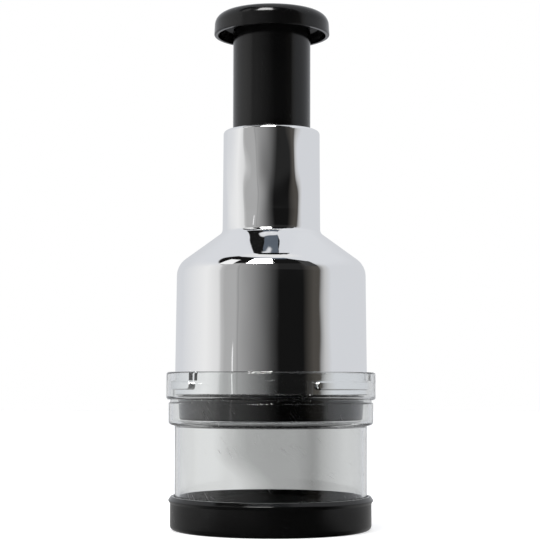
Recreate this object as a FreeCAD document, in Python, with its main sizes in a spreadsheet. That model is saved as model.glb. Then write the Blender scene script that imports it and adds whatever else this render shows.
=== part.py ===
import FreeCAD, Part
import Sketcher
import math
import os
import re

# Plunger food chopper, in millimetres, +Z up.
# The origin lies at the centre of the underside of the base, and the front of the object faces -Y.
# It stands locked and unpressed. Heights are stacked up from the base, so a changed size moves
# what is above it.

Vector = FreeCAD.Vector

# Driving dimensions, by piece
SIZES = {
    # clearances
    "seat_gap": 0.3,
    "slide_gap": 0.3,
    "fit_gap": 0.05,
    "spindle_gap": 0.1,
    "board_gap": 0.6,
    "knob_gap": 2.0,
    "rim_gap": 0.4,
    "carrier_gap": 1.4,
    "stem_gap": 1.5,
    "drive_gap": 0.7,
    "index_gap": 0.5,
    # base
    "base_wall": 1.6,
    "base_height": 14.7,
    "base_bead": 0.9,
    "base_bead_height": 3.1,
    "base_floor": 3.0,
    "base_skin": 2.4,
    "base_edge_round": 2.0,
    "board_rise": 4.0,
    "board_round": 1.2,
    "cup_clearance": 0.4,
    # cup
    "cup_radius": 42.4,
    "cup_wall": 2.0,
    "cup_wall_height": 42.5,
    "step_web": 2.0,
    "lower_band_reach": 2.75,
    "lower_band_height": 10.0,
    "lower_band_wall": 1.65,
    "lower_band_round": 1.6,
    "groove_height": 1.1,
    "groove_depth": 0.7,
    "upper_band_height": 12.2,
    "upper_band_wall": 1.5,
    "upper_band_round": 1.2,
    "ledge_height": 3.8,
    "notch_play": 3.0,
    "rib_angle": 2.8,
    "rib_reach": 1.5,
    # bayonet
    "lug_angle": 44.0,
    "lug_bearing": -42.5,
    "lug_height": 3.7,
    "lug_reach": 1.9,
    "lug_edge_round": 0.7,
    "lug_play": 3.0,
    "unlock_angle": 46.0,
    # housing
    "skirt_step": 0.1,
    "skirt_draft": 0.7,
    "skirt_height": 57.1,
    "shell_wall": 2.0,
    "shoulder_height": 14.7,
    "shoulder_round": 9.0,
    "neck_draft": 0.3,
    "neck_height": 45.5,
    "neck_root_round": 3.0,
    "neck_lip_round": 1.6,
    "bead_rise": 5.9,
    "bead_height": 2.0,
    "bead_reach": 1.2,
    "boss_radius": 3.6,
    "boss_depth": 9.0,
    "boss_inset": 3.2,
    # guide plate, its screws and the sleeve
    "plate_thickness": 2.5,
    "plate_margin": 0.5,
    "seat_rise": 2.0,
    "seat_margin": 1.05,
    "guide_tube_radius": 7.0,
    "guide_tube_height": 46.0,
    "screw_radius": 1.5,
    "screw_head_radius": 3.0,
    "screw_reach": 6.5,
    "sleeve_flange_radius": 24.0,
    "sleeve_flange": 2.0,
    "sleeve_recess": 0.6,
    "sleeve_gap": 0.15,
    "sleeve_wall": 1.7,
    # toothed rings
    "tooth_height": 1.8,
    "tooth_width": 4.0,
    "tooth_slope": 3.2,
    "tooth_play": 0.3,
    "crown_body": 1.4,
    "crown_outer": 17.5,
    "crown_inner": 9.5,
    "drive_body": 3.4,
    "drive_inner": 6.5,
    "cam_body": 2.5,
    "cam_margin": 0.9,
    "cam_hub_radius": 5.0,
    "cam_hub_rise": 0.5,
    # plunger
    "stem_radius": 17.25,
    "stem_wall": 2.0,
    "stem_cap": 4.6,
    "stem_step": 1.35,
    "key_width": 6.0,
    "key_height": 3.0,
    "key_reach": 1.6,
    "key_rise": 3.6,
    "knob_radius": 25.8,
    "knob_draft": 0.5,
    "knob_height": 11.0,
    "knob_dome": 2.0,
    "knob_round": 5.0,
    "knob_rim_round": 0.6,
    "knob_wall": 1.7,
    "knob_hub_drop": 2.5,
    "knob_screw_radius": 2.0,
    "knob_screw_head": 3.8,
    "knob_screw_head_height": 2.4,
    "knob_screw_reach": 6.0,
    "washer_thickness": 1.5,
    "washer_margin": 0.25,
    # spring
    "spring_radius": 11.3,
    "spring_wire": 0.9,
    "spring_turns": 12,
    # rotor
    "spindle_radius": 3.0,
    "spindle_skin": 0.8,
    "spindle_headroom": 0.8,
    "clip_radius": 5.2,
    "clip_thickness": 0.8,
    "clip_groove": 0.5,
    "carrier_margin": 0.6,
    "carrier_thickness": 3.4,
    "carrier_edge_round": 0.8,
    "carrier_hub_radius": 7.0,
    "carrier_hub_rise": 4.0,
    "pin_radius": 1.0,
    "blade_thickness": 0.6,
    "blade_inset": 1.5,
    "blade_pitch_share": 0.331,
    "blade_end_angle": 20.0,
    "blade_bend": 2.0,
    "blade_seat": 2.6,
    "blade_bevel": 1.5,
    "blade_edge": 0.12,
    "edge_tuck": 0.5,
    # stripper
    "stripper_inset": 1.4,
    "stripper_draft": 0.7,
    "stripper_height": 10.6,
    "stripper_floor": 2.3,
    "stripper_wall": 2.2,
    "stripper_round": 1.2,
    "slot_gap": 0.4,
    "arm_wall": 1.6,
    "arm_angle": 22.0,
    "arm_gap": 0.4,
    "hook_reach": 1.0,
    "hook_height": 1.6,
}
LUG_COUNT = 3
TOOTH_COUNT = 12
ARM_COUNT = 6
BEND_COUNT = 5

doc = FreeCAD.newDocument("PlungerChopper")
sheet = doc.addObject("Spreadsheet::Sheet", "Sizes")
for row, (alias, size) in enumerate(SIZES.items(), start=1):
    sheet.set(f"A{row}", alias)
    sheet.set(f"B{row}", str(size))
    sheet.setAlias(f"B{row}", alias)
doc.recompute()


def tied(text):
    """Expression text in which every size name points at the sheet."""
    return re.sub(r"[a-z_]+", lambda word: f"Sizes.{word[0]}" if word[0] in SIZES else word[0], text)


def value(text):
    """The number that an expression over the sheet gives now."""
    result = sheet.evalExpression(tied(text))
    return float(getattr(result, "Value", result))


def bind(thing, name, text):
    thing.setExpression(name, tied(text))


# Heights, stacked from the base up
CUP_FOOT = "(base_floor + seat_gap)"
CUP_STEP = f"({CUP_FOOT} + cup_wall_height)"
STEP_TOP = f"({CUP_STEP} + step_web)"
LOWER_BAND_TOP = f"({CUP_STEP} + lower_band_height)"
UPPER_BAND_FOOT = f"({LOWER_BAND_TOP} + groove_height)"
CUP_TOP = f"({UPPER_BAND_FOOT} + upper_band_height)"
LEDGE_FOOT = f"({CUP_TOP} - ledge_height)"
STRIPPER_FOOT = f"({STEP_TOP} + seat_gap)"
STRIPPER_FLOOR_TOP = f"({STRIPPER_FOOT} + stripper_floor)"
STRIPPER_TOP = f"({STRIPPER_FOOT} + stripper_height)"
SKIRT_FOOT = f"({STRIPPER_TOP} + rim_gap)"
BEAD_FOOT = f"({SKIRT_FOOT} + bead_rise)"
BEAD_TOP = f"({BEAD_FOOT} + bead_height)"
HOOK_FOOT = f"({BEAD_TOP} + seat_gap)"
HOOK_TOP = f"({HOOK_FOOT} + hook_height)"
LUG_TOP = f"({LEDGE_FOOT} - seat_gap)"
SHOULDER = f"({SKIRT_FOOT} + skirt_height)"
NECK_ROOT = f"({SHOULDER} + shoulder_height)"
NECK_TOP = f"({NECK_ROOT} + neck_height)"

BLADE_EDGE = f"({STRIPPER_FOOT} + edge_tuck)"
BOARD_TOP = "(base_floor + board_rise)"
STROKE = f"({BLADE_EDGE} - {BOARD_TOP} - board_gap)"

CARRIER_FOOT = f"({STRIPPER_FLOOR_TOP} + {STROKE} + carrier_gap)"
CARRIER_TOP = f"({CARRIER_FOOT} + carrier_thickness)"
RIDGE_FOOT = f"({CARRIER_TOP} + crown_body)"
INDEX_FOOT = f"({RIDGE_FOOT} + tooth_height + index_gap)"
NOTCH_TOP = f"({INDEX_FOOT} + tooth_height)"
PLATE_FOOT = f"({NOTCH_TOP} + crown_body)"
PLATE_TOP = f"({PLATE_FOOT} + plate_thickness)"
SPRING_SEAT = f"({PLATE_TOP} + seat_rise)"
STEM_FOOT = f"({PLATE_TOP} + {STROKE} + stem_gap)"
KEY_FOOT = f"({STEM_FOOT} + key_rise)"
KEY_TOP = f"({KEY_FOOT} + key_height)"

KNOB_RIM = f"({NECK_TOP} + {STROKE} + knob_gap)"
STEM_TOP = f"({KNOB_RIM} + knob_hub_drop)"
KNOB_TOP = f"({KNOB_RIM} + knob_height)"
CAP_FOOT = f"({STEM_TOP} - stem_cap)"
DRIVE_FACE = f"({CAP_FOOT} - drive_body)"
DRIVE_CREST = f"({DRIVE_FACE} - tooth_height)"
CAM_CREST = f"({DRIVE_CREST} - drive_gap)"
CAM_FACE = f"({CAM_CREST} - tooth_height)"
CAM_FOOT = f"({CAM_FACE} - cam_body)"
WASHER_TOP = f"({CAM_FOOT} - seat_gap)"
WASHER_FOOT = f"({WASHER_TOP} - washer_thickness)"
SPINDLE_FOOT = f"({CARRIER_FOOT} + spindle_skin)"
SPINDLE_TOP = f"({CAP_FOOT} - knob_screw_head_height - spindle_headroom)"
CLIP_FOOT = f"({CAM_CREST} + cam_hub_rise)"

# Radii, worked outwards and inwards from the cup wall and from the stem
CUP_BORE = "(cup_radius - cup_wall)"
BASE_RADIUS = "(cup_radius + cup_clearance + base_wall)"
LOWER_BAND_RADIUS = "(cup_radius + lower_band_reach)"
LOWER_BAND_BORE = f"({LOWER_BAND_RADIUS} - lower_band_wall)"
SKIRT_RADIUS = "(cup_radius + skirt_step)"
SHOULDER_RADIUS = f"({SKIRT_RADIUS} - skirt_draft)"
LUG_RADIUS = f"({SKIRT_RADIUS} + lug_reach)"
UPPER_BAND_BORE = f"({LUG_RADIUS} + seat_gap)"
UPPER_BAND_RADIUS = f"({UPPER_BAND_BORE} + upper_band_wall)"
BOSS_CIRCLE = f"({SHOULDER_RADIUS} - shell_wall - boss_inset)"
STRIPPER_RADIUS = f"({SKIRT_RADIUS} - stripper_inset)"
BEAD_BORE = f"({SKIRT_RADIUS} - shell_wall - bead_reach)"
ARM_RADIUS = f"({BEAD_BORE} - arm_gap)"
CARRIER_RADIUS = f"({ARM_RADIUS} - arm_wall - carrier_margin)"
BLADE_CIRCLE = f"({CARRIER_RADIUS} - blade_inset - blade_bend)"
STEM_BORE = "(stem_radius - stem_wall)"
STEM_UPPER_BORE = f"({STEM_BORE} - stem_step)"
SEAT_RADIUS = f"({STEM_BORE} - seat_margin)"
CAM_RADIUS = f"({STEM_UPPER_BORE} - cam_margin)"
SLEEVE_BORE = "(stem_radius + slide_gap)"
SLEEVE_RADIUS = f"({SLEEVE_BORE} + sleeve_wall)"
NECK_TOP_RADIUS = f"({SLEEVE_RADIUS} + sleeve_gap + shell_wall)"
NECK_RADIUS = f"({NECK_TOP_RADIUS} + neck_draft)"
SPINDLE_BORE = "(spindle_radius + spindle_gap)"


def origin_part(body, role):
    """An origin plane or axis of a body, by its role."""
    for feature in body.Origin.OriginFeatures:
        if feature.Role == role:
            return feature
    raise ValueError(role)


def new_body(name):
    body = doc.addObject("PartDesign::Body", name + "_body")
    body.Label = name
    return body


def new_sketch(body, name, plane, lift=None, turn=None):
    """A sketch on an origin plane, moved along the normal by lift or turned about Z by turn."""
    sketch = body.newObject("Sketcher::SketchObject", name)
    sketch.AttachmentSupport = [(origin_part(body, plane), "")]
    sketch.MapMode = "FlatFace"
    if lift is not None:
        bind(sketch, "AttachmentOffset.Base.z", lift)
    if turn is not None:
        sketch.AttachmentOffset = FreeCAD.Placement(Vector(0, 0, 0), FreeCAD.Rotation(Vector(0, 1, 0), 1))
        bind(sketch, "AttachmentOffset.Rotation.Angle", f"({turn}) * 1 deg")
    return sketch


def hold_point(sketch, line, end, across, up):
    """Holds one end of a line at a place given by two expressions."""
    for kind, text in (("DistanceX", across), ("DistanceY", up)):
        index = sketch.addConstraint(Sketcher.Constraint(kind, -1, 1, line, end, value(text)))
        bind(sketch, f"Constraints[{index}]", text)


def bowed(start, end, radius):
    """The arc from start to end that bows to the left of its way for a positive radius."""
    chord = end - start
    middle = (start + end) * 0.5
    left = Vector(-chord.y, chord.x, 0).normalize()
    reach = math.sqrt(radius ** 2 - chord.Length ** 2 / 4)
    side = math.copysign(1, radius)
    centre = middle - left * reach * side
    angles = [math.atan2(point.y - centre.y, point.x - centre.x) for point in (start, end)]
    backward = side > 0
    if backward:
        angles.reverse()
    circle = Part.Circle(centre, Vector(0, 0, 1), abs(radius))
    return Part.ArcOfCircle(circle, angles[0], angles[1]), backward


def draw(sketch, corners, bows=None):
    """A closed outline whose corners, and the radius of any bowed side, are held by the sheet."""
    bows = bows or {}
    points = [Vector(value(across), value(up), 0) for across, up in corners]
    ends = []
    for number, start in enumerate(points):
        end = points[(number + 1) % len(points)]
        if number in bows:
            arc, backward = bowed(start, end, value(bows[number]))
            side = sketch.addGeometry(arc, False)
            ends.append((side, (2, 1) if backward else (1, 2)))
        else:
            side = sketch.addGeometry(Part.LineSegment(start, end), False)
            ends.append((side, (1, 2)))
    for number, (side, (first, last)) in enumerate(ends):
        following, (next_first, next_last) = ends[(number + 1) % len(ends)]
        sketch.addConstraint(Sketcher.Constraint("Coincident", side, last, following, next_first))
    for (side, (first, last)), (across, up) in zip(ends, corners):
        hold_point(sketch, side, first, across, up)
    for number, radius in bows.items():
        side = ends[number][0]
        index = sketch.addConstraint(Sketcher.Constraint("Radius", side, abs(value(radius))))
        bind(sketch, f"Constraints[{index}]", f"abs({radius})")
    doc.recompute()
    return sketch


def draw_circle(sketch, across, up, radius):
    circle = Part.Circle(Vector(value(across), value(up), 0), Vector(0, 0, 1), value(radius))
    side = sketch.addGeometry(circle, False)
    hold_point(sketch, side, 3, across, up)
    index = sketch.addConstraint(Sketcher.Constraint("Radius", side, value(radius)))
    bind(sketch, f"Constraints[{index}]", radius)
    doc.recompute()
    return sketch


def box_corners(left, right, low, high):
    return [(left, low), (right, low), (right, high), (left, high)]


def volume_so_far(body):
    return body.Tip.Shape.Volume if body.Tip and not body.Tip.Shape.isNull() else 0.0


def checked(body, feature, before, grows):
    """Recomputes, and makes sure that the feature added or removed material."""
    doc.recompute()
    change = feature.Shape.Volume - before
    if change * (1 if grows else -1) <= 0:
        raise RuntimeError(f"{body.Label}: {feature.Label} changed the volume by {change:.3f}")
    return feature


def revolve(body, sketch, angle=None, cut=False):
    before = volume_so_far(body)
    kind = "PartDesign::Groove" if cut else "PartDesign::Revolution"
    feature = body.newObject(kind, sketch.Name + "_turned")
    feature.Profile = sketch
    feature.ReferenceAxis = (sketch, ["V_Axis"])
    feature.Angle = 360
    if angle is not None:
        feature.Midplane = True
        bind(feature, "Angle", f"({angle}) * 1 deg")
    return checked(body, feature, before, not cut)


def extrude(body, sketch, length, cut=False, backward=False, both_ways=False):
    before = volume_so_far(body)
    kind = "PartDesign::Pocket" if cut else "PartDesign::Pad"
    feature = body.newObject(kind, sketch.Name + "_extruded")
    feature.Profile = sketch
    feature.Reversed = backward
    feature.Midplane = both_ways
    bind(feature, "Length", length)
    return checked(body, feature, before, not cut)


def pattern(body, features, count, grows):
    before = volume_so_far(body)
    feature = body.newObject("PartDesign::PolarPattern", features[-1].Name + "_pattern")
    feature.Originals = features
    feature.Axis = (origin_part(body, "Z_Axis"), [""])
    feature.Angle = 360
    feature.Occurrences = count
    body.Tip = feature
    return checked(body, feature, before, grows)


def ring_edges(shape, rings):
    """Names of the round edges about the axis with the given radii and heights."""
    names = []
    for radius_text, height_text in rings:
        radius, height = value(radius_text), value(height_text)
        for number, edge in enumerate(shape.Edges, start=1):
            if edge.Degenerated or not isinstance(edge.Curve, Part.Circle):
                continue
            circle = edge.Curve
            if abs(circle.Radius - radius) < 0.01 and abs(circle.Center.z - height) < 0.01:
                names.append(f"Edge{number}")
    if len(names) < len(rings):
        raise RuntimeError(f"round edges not found: {rings}")
    return names


def soften(body, edges, size, kind="PartDesign::Fillet"):
    """A fillet or chamfer on edges of the body as it stands."""
    base = body.Tip
    feature = body.newObject(kind, "Soft")
    feature.Base = (base, edges)
    bind(feature, "Radius" if kind == "PartDesign::Fillet" else "Size", size)
    doc.recompute()
    if not feature.isValid():
        raise RuntimeError(f"{body.Label}: rounding by {size} failed")
    return feature


def round_rings(body, rings, radius):
    return soften(body, ring_edges(body.Tip.Shape, rings), radius)


def base_lid():
    # Moulded tray: outer wall with a proud bead, a groove for the cup and a raised chopping board
    body = new_body("base_lid")
    well = "(cup_radius + cup_clearance)"
    board = f"({CUP_BORE} - cup_clearance)"
    hollow = f"({board} - base_skin)"
    bead_radius = f"({BASE_RADIUS} + base_bead)"
    lip_radius = f"({BASE_RADIUS} - base_bead * 0.4)"
    bead_foot = "base_height - base_bead_height"
    bead_middle = "base_height - base_bead_height * 0.55"
    profile = new_sketch(body, "BaseProfile", "XZ_Plane")
    draw(profile, [
        ("0", f"{BOARD_TOP} - base_skin"),
        (hollow, f"{BOARD_TOP} - base_skin"),
        (hollow, "0"),
        (BASE_RADIUS, "0"),
        (BASE_RADIUS, bead_foot),
        (bead_radius, bead_middle),
        (lip_radius, "base_height"),
        (well, "base_height"),
        (well, "base_floor"),
        (board, "base_floor"),
        (board, BOARD_TOP),
        ("0", BOARD_TOP),
    ])
    revolve(body, profile)
    round_rings(body, [(BASE_RADIUS, "0")], "base_edge_round")
    round_rings(body, [(board, BOARD_TOP)], "board_round")
    round_rings(body, [(bead_radius, bead_middle), (lip_radius, "base_height")], "base_bead * 0.5")
    return body


def clear_cup():
    # Clear tube, open at both ends, with two stepped bands and an inward ledge for the bayonet
    body = new_body("clear_cup")
    body.Placement = FreeCAD.Placement(Vector(0, 0, 0), FreeCAD.Rotation(Vector(0, 0, 1), 1))
    bind(body, "Placement.Rotation.Angle", "(lug_bearing + unlock_angle) * 1 deg")
    ledge_bore = f"({SKIRT_RADIUS} + slide_gap)"
    groove_radius = f"({LOWER_BAND_RADIUS} - groove_depth)"
    profile = new_sketch(body, "CupProfile", "XZ_Plane")
    draw(profile, [
        (CUP_BORE, CUP_FOOT),
        ("cup_radius", CUP_FOOT),
        ("cup_radius", CUP_STEP),
        (LOWER_BAND_RADIUS, CUP_STEP),
        (LOWER_BAND_RADIUS, LOWER_BAND_TOP),
        (groove_radius, LOWER_BAND_TOP),
        (groove_radius, UPPER_BAND_FOOT),
        (UPPER_BAND_RADIUS, UPPER_BAND_FOOT),
        (UPPER_BAND_RADIUS, CUP_TOP),
        (ledge_bore, CUP_TOP),
        (ledge_bore, LEDGE_FOOT),
        (UPPER_BAND_BORE, LEDGE_FOOT),
        (UPPER_BAND_BORE, f"{UPPER_BAND_FOOT} + upper_band_wall"),
        (LOWER_BAND_BORE, UPPER_BAND_FOOT),
        (LOWER_BAND_BORE, STEP_TOP),
        (CUP_BORE, STEP_TOP),
    ])
    revolve(body, profile)
    round_rings(body, [(LOWER_BAND_RADIUS, CUP_STEP)], "lower_band_round")
    round_rings(body, [(LOWER_BAND_RADIUS, LOWER_BAND_TOP)], "groove_depth * 0.8")
    upper_edges = [(UPPER_BAND_RADIUS, UPPER_BAND_FOOT), (UPPER_BAND_RADIUS, CUP_TOP)]
    round_rings(body, upper_edges, "upper_band_round")
    round_rings(body, [("cup_radius", CUP_STEP)], "lower_band_round * 0.5")
    round_rings(body, [("cup_radius", CUP_FOOT), (CUP_BORE, CUP_FOOT)], "cup_wall * 0.25")
    notch = new_sketch(body, "LedgeNotch", "XZ_Plane")
    draw(notch, box_corners(f"{ledge_bore} - seat_gap", UPPER_BAND_BORE, LEDGE_FOOT,
                            f"{CUP_TOP} + seat_gap"))
    notches = [revolve(body, notch, "lug_angle + notch_play", cut=True)]
    pattern(body, notches, LUG_COUNT, grows=False)
    # The stop rib stands a little beyond the end of the locked lug
    rib = new_sketch(body, "StopRib", "XZ_Plane",
                     turn="0 - unlock_angle - lug_angle / 2 - lug_play - rib_angle / 2")
    draw(rib, box_corners(f"{UPPER_BAND_BORE} - rib_reach", f"{UPPER_BAND_BORE} + upper_band_wall / 2",
                          f"{UPPER_BAND_FOOT} + upper_band_wall", f"{LEDGE_FOOT} + ledge_height / 4"))
    ribs = [revolve(body, rib, "rib_angle")]
    pattern(body, ribs, LUG_COUNT, grows=True)
    return body


def chrome_housing():
    # Shell of one wall: drafted skirt, sloping shoulder and tall neck, with the bayonet lugs
    body = new_body("chrome_housing")
    body.AllowCompound = True
    bayonet_lugs(body)
    body.Placement = FreeCAD.Placement(Vector(0, 0, 0), FreeCAD.Rotation(Vector(0, 0, 1), -1))
    bind(body, "Placement.Rotation.Angle", "lug_bearing * 1 deg")
    slope = f"(shoulder_height / ({SHOULDER_RADIUS} - {NECK_RADIUS}))"
    drop = f"(shell_wall * ({slope} - sqrt(1 + {slope}^2)))"
    skirt_bore = f"({SKIRT_RADIUS} - shell_wall)"
    bead_chamfer = "bead_height / 4"
    inner_shoulder = (f"{SHOULDER_RADIUS} - shell_wall", f"{SHOULDER} + {drop}")
    profile = new_sketch(body, "ShellProfile", "XZ_Plane")
    draw(profile, [
        (skirt_bore, SKIRT_FOOT),
        (SKIRT_RADIUS, SKIRT_FOOT),
        (SHOULDER_RADIUS, SHOULDER),
        (NECK_RADIUS, NECK_ROOT),
        (NECK_TOP_RADIUS, NECK_TOP),
        (f"{NECK_TOP_RADIUS} - shell_wall", NECK_TOP),
        (f"{NECK_RADIUS} - shell_wall", f"{NECK_ROOT} + {drop}"),
        inner_shoulder,
        (skirt_bore, f"{BEAD_TOP} + {bead_chamfer}"),
        (BEAD_BORE, BEAD_TOP),
        (BEAD_BORE, f"{BEAD_FOOT} + {bead_chamfer}"),
        (skirt_bore, f"{BEAD_FOOT} - {bead_chamfer}"),
    ])
    revolve(body, profile)
    round_rings(body, [(SHOULDER_RADIUS, SHOULDER)], "shoulder_round")
    round_rings(body, [inner_shoulder], "shoulder_round - shell_wall")
    round_rings(body, [(NECK_RADIUS, NECK_ROOT)], "neck_root_round")
    round_rings(body, [(NECK_TOP_RADIUS, NECK_TOP)], "neck_lip_round")
    round_rings(body, [(SKIRT_RADIUS, SKIRT_FOOT)], "shell_wall * 0.25")
    # Screw bosses grow out of the inner wall, down to the guide plate
    boss = new_sketch(body, "ScrewBoss", "XY_Plane", lift=PLATE_TOP)
    draw_circle(boss, BOSS_CIRCLE, "0", "boss_radius")
    bosses = [extrude(body, boss, "boss_depth")]
    bore = new_sketch(body, "ScrewBore", "XY_Plane", lift=PLATE_TOP)
    draw_circle(bore, BOSS_CIRCLE, "0", "screw_radius + fit_gap")
    bosses.append(extrude(body, bore, "screw_reach + seat_gap", cut=True, backward=True))
    pattern(body, bosses, LUG_COUNT, grows=True)
    return body


def bayonet_lugs(body):
    """Three lugs, rounded at their ends and round their outer faces before the shell joins them."""
    inner = f"({SKIRT_RADIUS} - shell_wall / 2)"
    lug = new_sketch(body, "BayonetLug", "XZ_Plane")
    draw(lug, box_corners(inner, LUG_RADIUS, f"{LUG_TOP} - lug_height", LUG_TOP))
    pattern(body, [revolve(body, lug, "lug_angle")], LUG_COUNT, grows=True)
    outer = value(LUG_RADIUS)
    reach = (value(inner) + outer) / 2
    ends = []
    for number, edge in enumerate(body.Tip.Shape.Edges, start=1):
        middle = edge.CenterOfMass
        if isinstance(edge.Curve, Part.Line) and abs(math.hypot(middle.x, middle.y) - reach) < 0.01:
            ends.append(f"Edge{number}")
    soften(body, ends, "lug_height * 0.48")
    outline = []
    for number, edge in enumerate(body.Tip.Shape.Edges, start=1):
        if all(abs(math.hypot(point.x, point.y) - outer) < 0.01 for point in edge.discretize(5)):
            outline.append(f"Edge{number}")
    soften(body, outline, "lug_edge_round")


def guide_plate():
    # Bulkhead with the spring seat and the guide tube of the spindle
    body = new_body("guide_plate")
    body.Placement = FreeCAD.Placement(Vector(0, 0, 0), FreeCAD.Rotation(Vector(0, 0, 1), -1))
    bind(body, "Placement.Rotation.Angle", "lug_bearing * 1 deg")
    rim = f"({SHOULDER_RADIUS} - shell_wall - plate_margin)"
    profile = new_sketch(body, "PlateProfile", "XZ_Plane")
    draw(profile, [
        (SPINDLE_BORE, PLATE_FOOT),
        (rim, PLATE_FOOT),
        (rim, PLATE_TOP),
        (SEAT_RADIUS, PLATE_TOP),
        (SEAT_RADIUS, SPRING_SEAT),
        ("guide_tube_radius", SPRING_SEAT),
        ("guide_tube_radius", f"{PLATE_TOP} + guide_tube_height"),
        (SPINDLE_BORE, f"{PLATE_TOP} + guide_tube_height"),
    ])
    revolve(body, profile)
    round_rings(body, [("guide_tube_radius", f"{PLATE_TOP} + guide_tube_height")], "guide_tube_radius / 5")
    hole = new_sketch(body, "ScrewHole", "XZ_Plane")
    # The countersunk hole is drawn as its half section beside its own axis
    draw_countersunk_hole(body, hole)
    return body


def draw_countersunk_hole(body, sketch):
    head = "screw_head_radius + fit_gap"
    shank = "screw_radius + fit_gap"
    sink = "(screw_head_radius - screw_radius)"
    draw(sketch, [
        (BOSS_CIRCLE, f"{PLATE_FOOT} - seat_gap"),
        (f"{BOSS_CIRCLE} + {head}", f"{PLATE_FOOT} - seat_gap"),
        (f"{BOSS_CIRCLE} + {head}", PLATE_FOOT),
        (f"{BOSS_CIRCLE} + {shank}", f"{PLATE_FOOT} + {sink}"),
        (f"{BOSS_CIRCLE} + {shank}", f"{PLATE_TOP} + seat_gap"),
        (BOSS_CIRCLE, f"{PLATE_TOP} + seat_gap"),
    ])
    before = volume_so_far(body)
    groove = body.newObject("PartDesign::Groove", "ScrewHoleTurned")
    groove.Profile = sketch
    groove.ReferenceAxis = (sketch, ["Edge6"])
    groove.Angle = 360
    checked(body, groove, before, grows=False)
    pattern(body, [groove], LUG_COUNT, grows=False)


def guide_plate_screw(number):
    # Countersunk screw, turned about its own axis and set at its boss
    body = new_body(f"guide_plate_screw_{number + 1}")
    sink = "(screw_head_radius - screw_radius)"
    profile = new_sketch(body, f"ScrewProfile{number}", "XZ_Plane")
    draw(profile, [
        ("0", PLATE_FOOT),
        ("screw_head_radius", PLATE_FOOT),
        ("screw_radius", f"{PLATE_FOOT} + {sink}"),
        ("screw_radius", f"{PLATE_TOP} + screw_reach - screw_radius"),
        ("0", f"{PLATE_TOP} + screw_reach"),
    ])
    revolve(body, profile)
    bearing = f"(lug_bearing + {number} * 360 / {LUG_COUNT}) * 1 deg"
    bind(body, "Placement.Base.x", f"{BOSS_CIRCLE} * cos({bearing})")
    bind(body, "Placement.Base.y", f"{BOSS_CIRCLE} * sin({bearing})")
    return body


def neck_guide_sleeve():
    # Sleeve that stands on the guide plate, with two closed slots for the keys of the stem
    body = new_body("neck_guide_sleeve")
    profile = new_sketch(body, "SleeveProfile", "XZ_Plane")
    top = f"({NECK_TOP} - sleeve_recess)"
    draw(profile, [
        (SLEEVE_BORE, PLATE_TOP),
        ("sleeve_flange_radius", PLATE_TOP),
        ("sleeve_flange_radius", f"{PLATE_TOP} + sleeve_flange"),
        (SLEEVE_RADIUS, f"{PLATE_TOP} + sleeve_flange"),
        (SLEEVE_RADIUS, top),
        (SLEEVE_BORE, top),
    ])
    revolve(body, profile)
    slot = new_sketch(body, "KeySlot", "XZ_Plane")
    half = "(key_width / 2 + slide_gap)"
    draw(slot, box_corners(f"0 - {half}", half, f"{KEY_FOOT} - {STROKE} - seat_gap",
                           f"{KEY_TOP} + seat_gap"))
    extrude(body, slot, "sleeve_flange_radius * 2", cut=True, both_ways=True)
    return body


def radial_ridge(body, name, foot, crest, narrowing, inner, outer):
    """One saw-shaped radial ridge from inner to outer, with one upright and one sloping flank."""
    sketch = new_sketch(body, name, "YZ_Plane", lift=inner)
    half = f"(tooth_width / 2 - {narrowing})"
    draw(sketch, [
        (f"0 - {half}", foot),
        (half, foot),
        (f"{half} - tooth_slope * ({half} * 2 / tooth_width)", crest),
        (f"0 - {half}", crest),
    ])
    return extrude(body, sketch, f"{outer} - {inner}")


def index_ring():
    # Fixed crown: twelve radial notches that take the ridges of the carrier at each step of the blade
    body = new_body("index_ring")
    profile = new_sketch(body, "IndexProfile", "XZ_Plane")
    draw(profile, box_corners("crown_inner", "crown_outer", INDEX_FOOT, PLATE_FOOT))
    revolve(body, profile)
    notch = new_sketch(body, "IndexNotch", "YZ_Plane", lift="crown_inner / 2")
    half = "(tooth_width / 2 + tooth_play)"
    draw(notch, [
        (f"0 - {half}", f"{INDEX_FOOT} - tooth_play"),
        (half, f"{INDEX_FOOT} - tooth_play"),
        (f"{half} - tooth_slope", NOTCH_TOP),
        (f"0 - {half}", NOTCH_TOP),
    ])
    cut = extrude(body, notch, "crown_outer", cut=True, backward=True)
    pattern(body, [cut], TOOTH_COUNT, grows=False)
    return body


def carrier_ratchet_ring():
    # Crown on the blade carrier: twelve radial ridges that stand clear below the notches at rest
    body = new_body("carrier_ratchet_ring")
    profile = new_sketch(body, "RatchetProfile", "XZ_Plane")
    draw(profile, box_corners("crown_inner", "crown_outer", CARRIER_TOP, RIDGE_FOOT))
    revolve(body, profile)
    ridge = radial_ridge(body, "RatchetRidge", f"{RIDGE_FOOT} - crown_body / 2",
                         f"{RIDGE_FOOT} + tooth_height", "0", "(crown_inner + tooth_play)",
                         "(crown_outer - tooth_play)")
    pattern(body, [ridge], TOOTH_COUNT, grows=True)
    return body


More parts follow.
